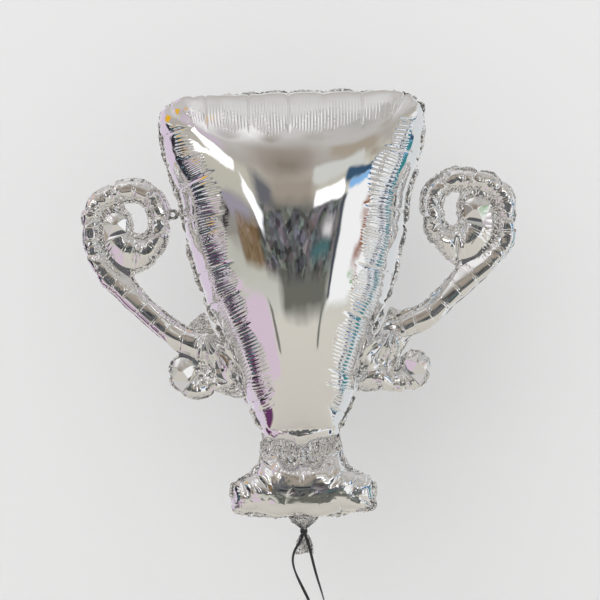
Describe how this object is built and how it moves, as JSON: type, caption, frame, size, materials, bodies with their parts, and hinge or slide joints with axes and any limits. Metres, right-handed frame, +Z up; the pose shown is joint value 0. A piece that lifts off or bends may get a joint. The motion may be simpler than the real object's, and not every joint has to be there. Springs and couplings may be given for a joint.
{
  "type": "trophy foil balloon",
  "caption": "Inflated foil balloon shaped as a two-handled trophy cup with scrolled handles, a stepped foot and a tied ribbon.",
  "frame": {"origin": "the ribbon tie on the filling neck, where the balloon is held in the air", "axes": "+Z up through the neck and cup, +X to the right seen from the front, the front faces -Y"},
  "size_m": [0.7576, 0.2956, 1.0484],
  "materials": {
    "foil": "mirror",
    "weld": "crinkled mirror",
    "ribbon": "matt"
  },
  "bodies": {
    "root": {"cup_back_sheet": "foil", "cup_front_sheet": "foil", "cup_weld_band": "weld", "filling_neck": "foil", "foot_back_sheet": "foil", "foot_front_sheet": "foil", "foot_weld_band": "weld", "left_arm_back_sheet": "foil", "left_arm_front_sheet": "foil", "left_arm_weld_band": "weld", "left_hang_tab": "weld", "left_lower_scroll_back_sheet": "foil", "left_lower_scroll_front_sheet": "foil", "left_lower_scroll_tip": "foil", "left_lower_scroll_weld_band": "weld", "left_root_back_sheet": "foil", "left_root_front_sheet": "foil", "left_root_web": "weld", "left_upper_scroll_back_sheet": "foil", "left_upper_scroll_front_sheet": "foil", "left_upper_scroll_tip": "foil", "left_upper_scroll_weld_band": "weld", "neck_passage_back": "foil", "neck_passage_front": "foil", "neck_weld": "weld", "ribbon_knot": "ribbon", "ribbon_loop": "ribbon", "ribbon_tail_left": "ribbon", "ribbon_tail_right": "ribbon", "right_arm_back_sheet": "foil", "right_arm_front_sheet": "foil", "right_arm_weld_band": "weld", "right_lower_scroll_back_sheet": "foil", "right_lower_scroll_front_sheet": "foil", "right_lower_scroll_tip": "foil", "right_lower_scroll_weld_band": "weld", "right_root_back_sheet": "foil", "right_root_front_sheet": "foil", "right_root_web": "weld", "right_upper_scroll_back_sheet": "foil", "right_upper_scroll_front_sheet": "foil", "right_upper_scroll_tip": "foil", "right_upper_scroll_weld_band": "weld"}
  },
  "joints": []
}
